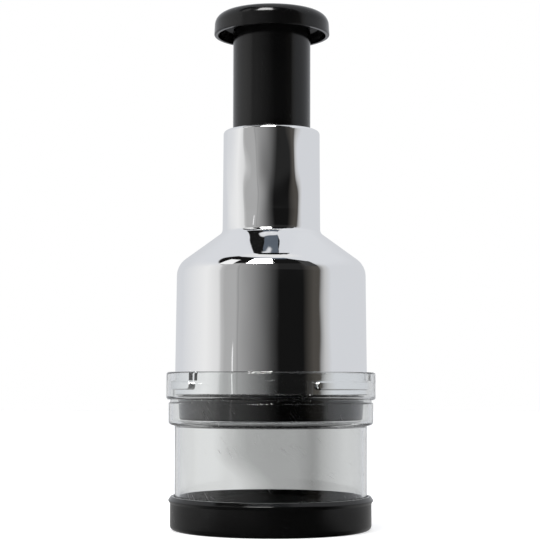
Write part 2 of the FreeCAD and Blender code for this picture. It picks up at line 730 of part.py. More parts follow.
def plunger_stem():
    # Tube with a closed top, a step for the spring washer and two keys at its foot
    body = new_body("plunger_stem")
    profile = new_sketch(body, "StemProfile", "XZ_Plane")
    draw(profile, [
        (STEM_BORE, STEM_FOOT),
        ("stem_radius", STEM_FOOT),
        ("stem_radius", STEM_TOP),
        ("knob_screw_radius + fit_gap", STEM_TOP),
        ("knob_screw_radius + fit_gap", CAP_FOOT),
        (STEM_UPPER_BORE, CAP_FOOT),
        (STEM_UPPER_BORE, WASHER_TOP),
        (STEM_BORE, WASHER_TOP),
    ])
    revolve(body, profile)
    round_rings(body, [("stem_radius", STEM_FOOT)], "stem_wall / 4")
    key = new_sketch(body, "StemKey", "YZ_Plane", lift="stem_radius - stem_wall / 2")
    draw(key, box_corners("0 - key_width / 2", "key_width / 2", KEY_FOOT, KEY_TOP))
    keys = [extrude(body, key, "key_reach + stem_wall / 2")]
    pattern(body, keys, 2, grows=True)
    body.Placement = FreeCAD.Placement(Vector(0, 0, 0), FreeCAD.Rotation(Vector(0, 0, 1), 90))
    return body


def press_knob():
    # Mushroom knob: domed cap with a thin rim, hollow below round the hub that sits on the stem
    body = new_body("press_knob")
    upper_radius = "(knob_radius - knob_draft)"
    corner = f"({KNOB_TOP} - knob_dome)"
    dome_radius = f"(({upper_radius}^2 + knob_dome^2) / (2 * knob_dome))"
    hub = "(stem_radius + fit_gap)"
    profile = new_sketch(body, "KnobProfile", "XZ_Plane")
    draw(profile, [
        ("0", STEM_TOP),
        (hub, STEM_TOP),
        (hub, f"{corner} - knob_wall"),
        (f"{upper_radius} - knob_wall", f"{corner} - knob_wall"),
        ("knob_radius - knob_wall", KNOB_RIM),
        ("knob_radius", KNOB_RIM),
        (upper_radius, corner),
        ("0", KNOB_TOP),
    ], bows={6: f"0 - {dome_radius}"})
    revolve(body, profile)
    round_rings(body, [(upper_radius, corner)], "knob_round")
    round_rings(body, [(f"{upper_radius} - knob_wall", f"{corner} - knob_wall")], "knob_round - knob_wall")
    round_rings(body, [("knob_radius", KNOB_RIM)], "knob_rim_round")
    bore = new_sketch(body, "KnobScrewBore", "XY_Plane", lift=STEM_TOP)
    draw_circle(bore, "0", "0", "knob_screw_radius + fit_gap")
    extrude(body, bore, "knob_screw_reach + seat_gap", cut=True, backward=True)
    return body


def knob_screw():
    # Pan-head screw from inside the stem up into the hub of the knob
    body = new_body("knob_screw")
    profile = new_sketch(body, "KnobScrewProfile", "XZ_Plane")
    head_foot = f"({CAP_FOOT} - knob_screw_head_height)"
    draw(profile, [
        ("0", head_foot),
        ("knob_screw_head", head_foot),
        ("knob_screw_head", CAP_FOOT),
        ("knob_screw_radius", CAP_FOOT),
        ("knob_screw_radius", f"{STEM_TOP} + knob_screw_reach - knob_screw_radius"),
        ("0", f"{STEM_TOP} + knob_screw_reach"),
    ])
    revolve(body, profile)
    round_rings(body, [("knob_screw_head", head_foot)], "knob_screw_head_height / 3")
    return body


def drive_ring():
    # Upper crown, fixed under the cap of the stem, with ridges that point down
    body = new_body("drive_ring")
    rim = f"({STEM_UPPER_BORE} - fit_gap)"
    profile = new_sketch(body, "DriveProfile", "XZ_Plane")
    draw(profile, box_corners("drive_inner", rim, DRIVE_FACE, CAP_FOOT))
    revolve(body, profile)
    ridge = radial_ridge(body, "DriveRidge", f"{DRIVE_FACE} + drive_body / 4", DRIVE_CREST,
                         "tooth_width / 8", "(drive_inner + tooth_play)", CAM_RADIUS)
    pattern(body, [ridge], TOOTH_COUNT, grows=True)
    return body


def spindle_cam():
    # Lower crown of the drive: ridges that point up, on a hub fixed to the spindle
    body = new_body("spindle_cam")
    bore = "(spindle_radius + fit_gap)"
    profile = new_sketch(body, "CamProfile", "XZ_Plane")
    draw(profile, [
        (bore, CAM_FOOT),
        (CAM_RADIUS, CAM_FOOT),
        (CAM_RADIUS, CAM_FACE),
        ("cam_hub_radius", CAM_FACE),
        ("cam_hub_radius", CLIP_FOOT),
        (bore, CLIP_FOOT),
    ])
    revolve(body, profile)
    ridge = radial_ridge(body, "CamRidge", f"{CAM_FACE} - cam_body / 4", CAM_CREST, "tooth_width / 8",
                         "(drive_inner + tooth_play)", f"({CAM_RADIUS} - tooth_play)")
    pattern(body, [ridge], TOOTH_COUNT, grows=True)
    return body


def spring_seat_washer():
    # Steel washer pushed by the spring against the step in the stem, which also carries the cam
    body = new_body("spring_seat_washer")
    profile = new_sketch(body, "WasherProfile", "XZ_Plane")
    draw(profile, box_corners(SPINDLE_BORE, f"{STEM_BORE} - washer_margin", WASHER_FOOT, WASHER_TOP))
    revolve(body, profile)
    return body


def return_spring():
    # Compression spring between the guide plate and the washer in the stem
    body = new_body("return_spring")
    section = new_sketch(body, "WireSection", "XZ_Plane")
    draw_circle(section, "spring_radius", f"{SPRING_SEAT} + spring_wire", "spring_wire")
    before = volume_so_far(body)
    helix = body.newObject("PartDesign::AdditiveHelix", "Coils")
    helix.Profile = section
    helix.ReferenceAxis = (section, ["V_Axis"])
    helix.Mode = "height-turns-angle"
    bind(helix, "Height", f"{WASHER_FOOT} - {SPRING_SEAT} - 2 * spring_wire")
    bind(helix, "Turns", "spring_turns")
    checked(body, helix, before, grows=True)
    return body


def spindle():
    # Steel rod from the carrier up into the stem, with a groove for its clip
    body = new_body("spindle")
    groove = "(spindle_radius - clip_groove)"
    profile = new_sketch(body, "SpindleProfile", "XZ_Plane")
    draw(profile, [
        ("0", SPINDLE_FOOT),
        ("spindle_radius", SPINDLE_FOOT),
        ("spindle_radius", CLIP_FOOT),
        (groove, CLIP_FOOT),
        (groove, f"{CLIP_FOOT} + clip_thickness"),
        ("spindle_radius", f"{CLIP_FOOT} + clip_thickness"),
        ("spindle_radius", SPINDLE_TOP),
        ("0", SPINDLE_TOP),
    ])
    revolve(body, profile)
    soften(body, ring_edges(body.Tip.Shape, [("spindle_radius", SPINDLE_TOP)]), "spindle_radius / 8",
           "PartDesign::Chamfer")
    cross = new_sketch(body, "PinHole", "YZ_Plane")
    draw_circle(cross, "0", f"{CARRIER_TOP} + carrier_hub_rise / 2", "pin_radius + fit_gap")
    extrude(body, cross, "spindle_radius * 3", cut=True, both_ways=True)
    return body


def spindle_clip():
    # Retaining clip: a ring with an opening as wide as the groove of the spindle
    body = new_body("spindle_clip")
    bore = "(spindle_radius - clip_groove + fit_gap)"
    profile = new_sketch(body, "ClipProfile", "XZ_Plane")
    draw(profile, box_corners(bore, "clip_radius", CLIP_FOOT, f"{CLIP_FOOT} + clip_thickness"))
    revolve(body, profile)
    mouth = new_sketch(body, "ClipMouth", "XY_Plane", lift=CLIP_FOOT)
    draw(mouth, box_corners("0", "clip_radius * 2", f"0 - {bore} * 0.8", f"{bore} * 0.8"))
    extrude(body, mouth, "clip_thickness", cut=True, backward=True)
    return body


def zigzag_path(height):
    """Centre line of the folded strip: straight runs tangent to bends on alternate sides of the circle."""
    bend = value("blade_bend")
    circle = value(BLADE_CIRCLE)
    spread = circle * value("blade_pitch_share")
    middle = (BEND_COUNT + 1) / 2
    centres = []
    for number in range(1, BEND_COUNT + 1):
        across = (number - middle) * spread
        side = 1 if number % 2 == 0 else -1
        centres.append((Vector(across, side * math.sqrt(circle ** 2 - across ** 2), height), side))
    end_angle = math.radians(value("blade_end_angle"))
    end_across, end_along = circle * math.cos(end_angle), circle * math.sin(end_angle)
    first, last = Vector(-end_across, end_along, height), Vector(end_across, end_along, height)

    def tangent_from_point(point, centre, side_sign):
        """Touching point on a bend of the line from an outside point."""
        away = point - centre
        angle = math.acos(bend / away.Length) * side_sign
        direction = Vector(away).normalize() * bend
        turned = Vector(direction.x * math.cos(angle) - direction.y * math.sin(angle),
                        direction.x * math.sin(angle) + direction.y * math.cos(angle), 0)
        return centre + turned

    touches = []
    for number, (centre, side) in enumerate(centres):
        before = first if number == 0 else (centres[number - 1][0] + centre) * 0.5
        after = last if number == BEND_COUNT - 1 else (centres[number + 1][0] + centre) * 0.5
        outward = Vector(0, side, 0)
        entry = tangent_from_point(before, centre, -side)
        leave = tangent_from_point(after, centre, side)
        touches.append((entry, centre + outward * bend, leave))
    edges = []
    place = first
    for entry, crown, leave in touches:
        edges.append(Part.LineSegment(place, entry).toShape())
        edges.append(Part.Arc(entry, crown, leave).toShape())
        place = leave
    edges.append(Part.LineSegment(place, last).toShape())
    return Part.Wire(edges)


def zigzag_outline(height, half_width):
    """Closed outline at a constant distance from the centre line."""
    return zigzag_path(height).makeOffset2D(half_width, 0, False, False, False)


def zigzag_strip(low, high, half_width):
    return Part.Face(zigzag_outline(low, half_width)).extrude(Vector(0, 0, high - low))


def shaped(name, shape):
    thing = doc.addObject("Part::Feature", name)
    thing.Label = name
    thing.Shape = shape
    thing.Placement = FreeCAD.Placement()
    return thing


def chopping_blade():
    # Folded stainless strip, seated in the carrier above and ground to an edge below
    half = value("blade_thickness / 2")
    edge = value(BLADE_EDGE)
    shoulder = value(f"{BLADE_EDGE} + blade_bevel")
    top = value(f"{CARRIER_FOOT} + blade_seat")
    strip = zigzag_strip(shoulder, top, half)
    outlines = [zigzag_outline(edge, value("blade_edge / 2")), zigzag_outline(shoulder, half)]
    bevel = Part.makeLoft(outlines, True, True)
    return shaped("chopping_blade", strip.fuse(bevel).removeSplitter())


def cut_with(name, blank, tool):
    """The finished piece: a body less a shaped tool."""
    thing = doc.addObject("Part::Cut", name)
    thing.Base = blank
    thing.Tool = tool
    blank.Label = name + "_blank"
    thing.Label = name
    doc.recompute()
    return thing


def blade_carrier():
    # Disc with a groove for the strip and a hub for the spindle
    body = new_body("blade_carrier")
    bore = "(spindle_radius + fit_gap)"
    hub_top = f"({CARRIER_TOP} + carrier_hub_rise)"
    profile = new_sketch(body, "CarrierProfile", "XZ_Plane")
    draw(profile, [
        ("0", CARRIER_FOOT),
        (CARRIER_RADIUS, CARRIER_FOOT),
        (CARRIER_RADIUS, CARRIER_TOP),
        ("carrier_hub_radius", CARRIER_TOP),
        ("carrier_hub_radius", hub_top),
        (bore, hub_top),
        (bore, SPINDLE_FOOT),
        ("0", SPINDLE_FOOT),
    ])
    revolve(body, profile)
    round_rings(body, [(CARRIER_RADIUS, CARRIER_TOP)], "carrier_edge_round")
    cross = new_sketch(body, "HubPinHole", "YZ_Plane")
    draw_circle(cross, "0", f"{CARRIER_TOP} + carrier_hub_rise / 2", "pin_radius + fit_gap")
    extrude(body, cross, "carrier_hub_radius * 3", cut=True, both_ways=True)
    low = value(f"{CARRIER_FOOT} - seat_gap")
    high = value(f"{CARRIER_FOOT} + blade_seat")
    groove = shaped("carrier_groove", zigzag_strip(low, high, value("blade_thickness / 2 + fit_gap")))
    return cut_with("blade_carrier", body, groove)


def carrier_pin():
    # Cross pin through hub and spindle
    body = new_body("carrier_pin")
    section = new_sketch(body, "PinSection", "YZ_Plane")
    draw_circle(section, "0", f"{CARRIER_TOP} + carrier_hub_rise / 2", "pin_radius")
    extrude(body, section, "carrier_hub_radius * 2 - fit_gap * 2", both_ways=True)
    return body


def stripper_plate():
    # Shallow dish that wipes the blade: zigzag slot in the floor, tapered rim and snap arms
    body = new_body("stripper_plate")
    rim_bore = f"({STRIPPER_RADIUS} - stripper_wall)"
    floor_radius = f"({STRIPPER_RADIUS} - stripper_draft)"
    profile = new_sketch(body, "StripperProfile", "XZ_Plane")
    draw(profile, [
        ("0", STRIPPER_FOOT),
        (floor_radius, STRIPPER_FOOT),
        (STRIPPER_RADIUS, STRIPPER_TOP),
        (rim_bore, STRIPPER_TOP),
        (rim_bore, STRIPPER_FLOOR_TOP),
        ("0", STRIPPER_FLOOR_TOP),
    ])
    revolve(body, profile)
    round_rings(body, [(floor_radius, STRIPPER_FOOT)], "stripper_round")
    arm = new_sketch(body, "SnapArm", "XZ_Plane")
    arm_bore = f"({ARM_RADIUS} - arm_wall)"
    draw(arm, [
        (arm_bore, STRIPPER_FLOOR_TOP),
        (rim_bore, STRIPPER_FLOOR_TOP),
        (rim_bore, f"{STRIPPER_TOP} - rim_gap"),
        (ARM_RADIUS, STRIPPER_TOP),
        (ARM_RADIUS, HOOK_FOOT),
        (f"{ARM_RADIUS} + hook_reach", HOOK_FOOT),
        (ARM_RADIUS, HOOK_TOP),
        (arm_bore, HOOK_TOP),
    ])
    arms = [revolve(body, arm, "arm_angle")]
    pattern(body, arms, ARM_COUNT, grows=True)
    low = value(f"{STRIPPER_FOOT} - seat_gap")
    high = value(f"{STRIPPER_FLOOR_TOP} + seat_gap")
    slot = shaped("stripper_slot", zigzag_strip(low, high, value("blade_thickness / 2 + slot_gap")))
    return cut_with("stripper_plate", body, slot)


pieces = [
    base_lid(),
    clear_cup(),
    chrome_housing(),
    guide_plate(),
    neck_guide_sleeve(),
    index_ring(),
    plunger_stem(),
    press_knob(),
    knob_screw(),
    drive_ring(),
    spring_seat_washer(),
    return_spring(),
    spindle(),
    spindle_cam(),
    spindle_clip(),
    blade_carrier(),
    carrier_ratchet_ring(),
    carrier_pin(),
    chopping_blade(),
    stripper_plate(),
]
pieces += [guide_plate_screw(number) for number in range(LUG_COUNT)]

doc.recompute()
for thing in doc.Objects:
    if "Invalid" in thing.State or "Error" in thing.State:
        raise RuntimeError(f"{thing.Label} failed: {thing.State} {thing.getStatusString()}")
for piece in pieces:
    if piece.Shape.isNull() or not piece.Shape.isValid():
        raise RuntimeError(f"{piece.Label} has no valid shape")
    if len(piece.Shape.Solids) != 1:
        raise RuntimeError(f"{piece.Label} has {len(piece.Shape.Solids)} solids")

os.makedirs("parts", exist_ok=True)
for piece in pieces:
    piece.Shape.exportStep(f"parts/{piece.Label}.step")
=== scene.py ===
import math

import bpy
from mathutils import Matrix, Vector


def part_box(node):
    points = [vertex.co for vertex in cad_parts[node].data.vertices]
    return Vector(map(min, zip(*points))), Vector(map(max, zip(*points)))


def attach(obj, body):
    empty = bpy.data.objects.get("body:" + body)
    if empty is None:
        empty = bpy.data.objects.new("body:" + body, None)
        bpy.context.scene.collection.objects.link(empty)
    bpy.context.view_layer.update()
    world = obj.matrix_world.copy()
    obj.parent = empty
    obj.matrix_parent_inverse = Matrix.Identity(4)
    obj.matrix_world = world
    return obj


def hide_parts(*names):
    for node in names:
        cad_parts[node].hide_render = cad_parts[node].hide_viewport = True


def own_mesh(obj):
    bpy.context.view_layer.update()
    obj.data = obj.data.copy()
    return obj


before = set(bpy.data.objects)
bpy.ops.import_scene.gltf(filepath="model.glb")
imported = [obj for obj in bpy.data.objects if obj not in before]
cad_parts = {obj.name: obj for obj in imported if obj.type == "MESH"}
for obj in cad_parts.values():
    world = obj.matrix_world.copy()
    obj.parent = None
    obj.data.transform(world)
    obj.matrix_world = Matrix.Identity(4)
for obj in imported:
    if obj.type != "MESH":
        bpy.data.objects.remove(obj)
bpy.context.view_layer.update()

# Camera
# The photograph is taken level with the clear cup and looks up a little, with the rest of its framing from
# a small shift. Places are metres, with the front of the chopper towards -Y.
eye_height = 0.0634
eye_distance = 0.674
focal_length = 101.35
sensor_width = 36.0
frame_shift_up = 0.0755
frame_shift_side = -0.00185
camera_roll = -0.14
camera_rise = 2.8

lens = bpy.data.cameras.new("photo_lens")
lens.lens = focal_length
lens.sensor_width = sensor_width
lens.shift_x = frame_shift_side
lens.shift_y = frame_shift_up
lens.clip_start = 0.01
camera = bpy.data.objects.new("photo_camera", lens)
camera.location = (0.0, -eye_distance, eye_height)
camera.rotation_euler = (math.radians(90 + camera_rise), math.radians(camera_roll), 0.0)
bpy.context.scene.collection.objects.link(camera)
bpy.context.scene.camera = camera
bpy.context.scene.view_settings.view_transform = "Standard"


# Studio room
# The bright plating mirrors the whole room: white sheets at both sides, a dark open front where the camera
# stands, a pale ceiling and a soft box overhead. Bearings are degrees to the right of the camera.
def linear(shade):
    """Scene value of a display grey or colour from 0 to 255."""
    parts = shade if isinstance(shade, tuple) else (shade, shade, shade)
    scaled = [part / 255 for part in parts]
    return tuple(c / 12.92 if c <= 0.04045 else ((c + 0.055) / 1.055) ** 2.4 for c in scaled) + (1.0,)


def node_at(tree, kind, **settings):
    """A new node of a shader tree, with its settings."""
    node = tree.nodes.new(kind)
    for name, setting in settings.items():
        setattr(node, name, setting)
    return node


def feed(tree, sources, inputs):
    """Puts each source, a socket or a plain value, into its input."""
    for source, target in zip(sources, inputs):
        if isinstance(source, bpy.types.NodeSocket):
            tree.links.new(source, target)
        elif source is not None:
            target.default_value = source


def calc(tree, operation, first, second=None, third=None):
    """Output of a Math node."""
    node = node_at(tree, "ShaderNodeMath", operation=operation)
    feed(tree, (first, second, third), node.inputs)
    return node.outputs[0]


def soft_step(tree, source, low, high):
    """0 below low and 1 above high, smooth between them; falls instead where high is the smaller."""
    node = node_at(tree, "ShaderNodeMapRange", interpolation_type="SMOOTHSTEP")
    labels = ("Value", "From Min", "From Max")
    feed(tree, (source, low, high), [node.inputs[label] for label in labels])
    return node.outputs["Result"]


def ramped(tree, source, low_result, high_result, low=0.0, high=1.0):
    """Goes evenly from low_result to high_result while source goes from low to high, and stops there."""
    node = node_at(tree, "ShaderNodeMapRange")
    labels = ("Value", "From Min", "From Max", "To Min", "To Max")
    feed(tree, (source, low, high, low_result, high_result), [node.inputs[label] for label in labels])
    return node.outputs["Result"]


def mixed(tree, factor, first, second):
    """Colour between first and second."""
    node = node_at(tree, "ShaderNodeMix", data_type="RGBA")
    feed(tree, (factor, first, second), (node.inputs[0], node.inputs[6], node.inputs[7]))
    return node.outputs[2]


def shade_ramp(tree, source, stops):
    """Colour ramp over (place, shade) stops, with places from 0 to 1."""
    node = node_at(tree, "ShaderNodeValToRGB")
    ramp = node.color_ramp
    while len(ramp.elements) < len(stops):
        ramp.elements.new(0.5)
    for element, (place, shade) in zip(ramp.elements, stops):
        element.position = place
        element.color = linear(shade)
    tree.links.new(source, node.inputs["Fac"])
    return node.outputs["Color"]


world = bpy.data.worlds.new("studio_room")
bpy.context.scene.world = world
world.use_nodes = True
room = world.node_tree
room.nodes.clear()
toward = node_at(room, "ShaderNodeSeparateXYZ")
room.links.new(node_at(room, "ShaderNodeTexCoord").outputs["Generated"], toward.inputs[0])
toward_x, toward_y, toward_z = toward.outputs
bearing = calc(room, "ARCTAN2", toward_x, calc(room, "MULTIPLY", toward_y, -1.0))
bearing_degrees = calc(room, "MULTIPLY", bearing, 180 / math.pi)
rise_degrees = calc(room, "MULTIPLY", calc(room, "ARCSINE", toward_z), 180 / math.pi)

# Walls from behind on the left, round the front, to behind on the right: bearing and shade
cool_white = (210, 212, 216)
lit_white = 235
half_shade = 170
front_grey = 160
front_dim = 65
front_dark = 20
brownish = (75, 72, 68)
wall_bands = [
    (-180, cool_white),
    (-135, cool_white),  # back of the room
    (-85, lit_white),  # white sheet on the left
    (-66, 220),
    (-57, half_shade),  # its nearer end
    (-41, half_shade),
    (-40, 120),  # thin dark line
    (-39, front_grey),  # grey front, which darkens to the right
    (0, front_dim),
    (9, front_dark),  # darkest part of the open front
    (38, front_dark),
    (52, brownish),  # brownish strip
    (59, brownish),
    (62, 150),  # white sheet on the right
    (67, 190),
    (77, cool_white),
    (180, cool_white),
]
bearing_share = calc(room, "MULTIPLY_ADD", bearing, 1 / (2 * math.pi), 0.5)
wall_colour = shade_ramp(room, bearing_share, [(place / 360 + 0.5, shade) for place, shade in wall_bands])
wall_end = 20
ceiling_start = 45
ceiling_shade = (216, 218, 222)
overhead_start = 66
overhead_full = 80
overhead_shade = 230
overhead = soft_step(room, rise_degrees, overhead_start, overhead_full)
ceiling = mixed(room, overhead, linear(ceiling_shade), linear(overhead_shade))
above_walls = soft_step(room, rise_degrees, wall_end, ceiling_start)
room_colour = mixed(room, above_walls, wall_colour, ceiling)

# The opening in front leans over to the left as it rises, and ends short of the point overhead
opening_top = 70
opening_side_edge = 2.5
opening_left_shade = 170
haze_share = 0.06
haze_shade = 125
dark_above_shade = 22
opening_left = ramped(room, rise_degrees, -62, -104, 25, 62)
opening_right = ramped(room, rise_degrees, 60, 30, 48, opening_top)
left_of_opening = calc(room, "SUBTRACT", bearing_degrees, opening_left)
right_of_opening = calc(room, "SUBTRACT", opening_right, bearing_degrees)
opening = calc(room, "MULTIPLY", soft_step(room, left_of_opening, -opening_side_edge, opening_side_edge),
               soft_step(room, right_of_opening, -1.0, 1.0))
opening = calc(room, "MULTIPLY", opening, soft_step(room, rise_degrees, opening_top, opening_top - 1.5))
far_left = soft_step(room, bearing_degrees, -55, -66)
front_bands = mixed(room, far_left, wall_colour, linear(opening_left_shade))
haze = calc(room, "MULTIPLY", soft_step(room, rise_degrees, 5.0, 9.0), haze_share)
front_bands = mixed(room, haze, front_bands, linear(haze_shade))
room_colour = mixed(room, opening, room_colour, front_bands)
dark_above = calc(room, "MULTIPLY", opening, soft_step(room, rise_degrees, 36, 42))
room_colour = mixed(room, dark_above, room_colour, linear(dark_above_shade))


def patch(left, right, low, high, edge):
    """1 inside a patch of the room between two bearings and two rises."""
    sides = calc(room, "MULTIPLY", soft_step(room, bearing_degrees, left - edge, left + edge),
                 soft_step(room, bearing_degrees, right + edge, right - edge))
    ends = calc(room, "MULTIPLY", soft_step(room, rise_degrees, low - edge, low + edge),
                soft_step(room, rise_degrees, high + edge, high - edge))
    return calc(room, "MULTIPLY", sides, ends)


# Smaller patches of the room: left and right bearing, lowest and highest rise, shade
room_patches = (
    (-74, -53, 34, 56, 245),  # white patch high on the left
    (-42, 32, 63.5, 69.5, (90, 98, 108)),  # bluish strip under the top of the opening
    (-46.2, -45.0, -2.0, 2.7, 255),  # small bright gap
    (44, 60, 24, 50, 65),  # upper end of the brownish strip
)
patch_edge = 0.3
for left, right, low, high, shade in room_patches:
    room_colour = mixed(room, patch(left, right, low, high, patch_edge), room_colour, linear(shade))
room_path = node_at(room, "ShaderNodeLightPath")
soft_box_glow = (18.0, 18.0, 17.6, 1.0)
soft_box_edge = 0.8
soft_box = patch(-34, 1, 39, 62, soft_box_edge)
soft_box_seen = calc(room, "MULTIPLY", soft_box, room_path.outputs["Is Glossy Ray"])
room_colour = mixed(room, soft_box_seen, room_colour, soft_box_glow)
white = (1.0, 1.0, 1.0, 1.0)
room_colour = mixed(room, room_path.outputs["Is Camera Ray"], room_colour, white)
background = node_at(room, "ShaderNodeBackground")
room.links.new(room_colour, background.inputs["Color"])
room.links.new(background.outputs[0], node_at(room, "ShaderNodeOutputWorld").inputs["Surface"])

# Overhead lamp
# One large soft box above and a little to the left, which gives the faint shadow on the floor. The plating
# doesn't mirror it, because the room already holds its reflection.
lamp_place = (-0.25, -0.35, 1.0)
lamp_width = 0.6
lamp_power = 6.0
lamp_tilt_forward = 18
lamp_tilt_side = -14
lamp_data = bpy.data.lights.new("soft_box", "AREA")
lamp_data.shape = "DISK"
lamp_data.size = lamp_width
lamp_data.energy = lamp_power
lamp = bpy.data.objects.new("soft_box", lamp_data)
lamp.location = lamp_place
lamp.rotation_euler = (math.radians(lamp_tilt_forward), math.radians(lamp_tilt_side), 0.0)
lamp.visible_glossy = False
lamp.visible_camera = False
bpy.context.scene.collection.objects.link(lamp)


# Floor
# A plain white sheet that the chopper stands on. Reflections don't see it lit: to them it glows with
# painted shade, dark in front, where the room falls away, paler to the sides, and gone a little way out.
def stage_sheet(name, corners):
    mesh = bpy.data.meshes.new(name)
    mesh.from_pydata(corners, [], [(0, 1, 2, 3)])
    sheet = bpy.data.objects.new(name, mesh)
    bpy.context.scene.collection.objects.link(sheet)
    return sheet


floor_reach = 3.0
floor_white = (0.86, 0.86, 0.87, 1.0)
floor_dullness = 0.8
floor_shine = 0.1
floor_glow = 0.62
mirrored_fade_start = 0.16
mirrored_fade_end = 0.26
floor_left_shade = 95
floor_front_shade = 18
floor_side_shade = 160
floor = stage_sheet("floor", [(-floor_reach, -floor_reach, 0), (floor_reach, -floor_reach, 0),
                              (floor_reach, floor_reach, 0), (-floor_reach, floor_reach, 0)])
floor_paint = bpy.data.materials.new("white_sheet")
floor_paint.use_nodes = True
paint = floor_paint.node_tree
floor_shader = paint.nodes["Principled BSDF"]
floor_shader.inputs["Base Color"].default_value = floor_white
floor_shader.inputs["Roughness"].default_value = floor_dullness
floor_shader.inputs["Specular IOR Level"].default_value = floor_shine
floor_shader.inputs["Emission Color"].default_value = white
floor_path = node_at(paint, "ShaderNodeLightPath")
paint.links.new(calc(paint, "MULTIPLY", floor_path.outputs["Is Camera Ray"], floor_glow),
                floor_shader.inputs["Emission Strength"])
floor_place = node_at(paint, "ShaderNodeTexCoord")
floor_split = node_at(paint, "ShaderNodeSeparateXYZ")
paint.links.new(floor_place.outputs["Object"], floor_split.inputs[0])
floor_away = node_at(paint, "ShaderNodeVectorMath", operation="LENGTH")
paint.links.new(floor_place.outputs["Object"], floor_away.inputs[0])
floor_distance = floor_away.outputs["Value"]
toward_front = calc(paint, "MULTIPLY", floor_split.outputs[1], -1.0)
floor_front = calc(paint, "DIVIDE", toward_front, floor_distance)
# Painted shade that reflections see on the floor: dark in front, grey to the left, paler to the sides
left_to_front = soft_step(paint, floor_split.outputs[0], -0.07, 0.03)
mirrored_shade = mixed(paint, left_to_front, linear(floor_left_shade), linear(floor_front_shade))
front_to_side = soft_step(paint, floor_front, 0.8, 0.35)
mirrored_shade = mixed(paint, front_to_side, mirrored_shade, linear(floor_side_shade))
floor_mirror = node_at(paint, "ShaderNodeEmission")
paint.links.new(mirrored_shade, floor_mirror.inputs["Color"])
floor_end = node_at(paint, "ShaderNodeMixShader")
floor_gone = node_at(paint, "ShaderNodeBsdfTransparent")
floor_fade = soft_step(paint, floor_distance, mirrored_fade_start, mirrored_fade_end)
feed(paint, (floor_fade, floor_mirror.outputs[0], floor_gone.outputs[0]), floor_end.inputs)
floor_mix = node_at(paint, "ShaderNodeMixShader")
feed(paint, (floor_path.outputs["Is Glossy Ray"], floor_shader.outputs[0], floor_end.outputs[0]),
     floor_mix.inputs)
paint.links.new(floor_mix.outputs[0], paint.nodes["Material Output"].inputs["Surface"])
floor.data.materials.append(floor_paint)

# Grey card
# Stands close behind the cup and shows only through the clear plastic, which reads as grey in the middle.
# That grey is painted reflection: the card glows with set shades in place of the room's dark front mirrored
# inside the cup. It darkens towards its middle, and the dark part leans to the left below.
card_half_width = 0.075
card_height = 0.075
card_distance = 0.058
card_lean_reach = -0.09
card = stage_sheet("grey_card", [(-card_half_width, card_distance, 0.0),
                                 (card_half_width, card_distance, 0.0),
                                 (card_half_width, card_distance, card_height),
                                 (-card_half_width, card_distance, card_height)])
card.visible_camera = False
card.visible_diffuse = False
card.visible_glossy = False
card.visible_shadow = False
card_paint = bpy.data.materials.new("grey_card")
card_paint.use_nodes = True
print_tree = card_paint.node_tree
print_tree.nodes.clear()
card_split = node_at(print_tree, "ShaderNodeSeparateXYZ")
print_tree.links.new(node_at(print_tree, "ShaderNodeTexCoord").outputs["Generated"], card_split.inputs[0])
card_across = card_split.outputs[0]
card_up = card_split.outputs[2]
card_lean = calc(print_tree, "MULTIPLY", soft_step(print_tree, card_up, 0.42, 0.2),
                 soft_step(print_tree, card_across, 0.62, 0.5))
card_lookup = calc(print_tree, "MULTIPLY_ADD", card_lean, card_lean_reach, card_across)
# Painted reflection: the shades that the cup shows across its middle
card_colour = shade_ramp(print_tree, card_lookup, [
    (0.0, 220), (0.3, 225), (0.36, 200), (0.42, 175), (0.58, 170), (0.64, 150), (0.76, 200), (1.0, 225)])
card_glow = node_at(print_tree, "ShaderNodeEmission")
print_tree.links.new(card_colour, card_glow.inputs["Color"])
card_output = node_at(print_tree, "ShaderNodeOutputMaterial")
print_tree.links.new(card_glow.outputs[0], card_output.inputs["Surface"])
card.data.materials.append(card_paint)


# Gloss black mouldings
# Knob, stem, neck sleeve, stripper and blade carrier are black ABS from a polished mould. The gloss has a
# faint swirl from handling, hairline scratches and a few specks of pale dust.
def new_group(name, inputs, outputs):
    """A shader group with (name, default) number inputs and named outputs; gives it with its end nodes."""
    group = bpy.data.node_groups.new(name, "ShaderNodeTree")
    for label, default in inputs:
        socket = group.interface.new_socket(label, in_out="INPUT", socket_type="NodeSocketFloat")
        socket.default_value = default
    for label in outputs:
        kind = "NodeSocketColor" if label == "Color" else "NodeSocketFloat"
        group.interface.new_socket(label, in_out="OUTPUT", socket_type=kind)
    return group, node_at(group, "NodeGroupInput").outputs, node_at(group, "NodeGroupOutput").inputs


def place_group(tree, group, **values):
    """Places a group in a tree with its own values, and gives its outputs."""
    node = node_at(tree, "ShaderNodeGroup", node_tree=group)
    for label, setting in values.items():
        feed(tree, (setting,), (node.inputs[label.replace("_", " ")],))
    return node.outputs


def object_place(tree):
    """Place on the piece, in metres."""
    return node_at(tree, "ShaderNodeTexCoord").outputs["Object"]


def object_axes(tree):
    """The same place as three numbers."""
    split = node_at(tree, "ShaderNodeSeparateXYZ")
    tree.links.new(object_place(tree), split.inputs[0])
    return split.outputs


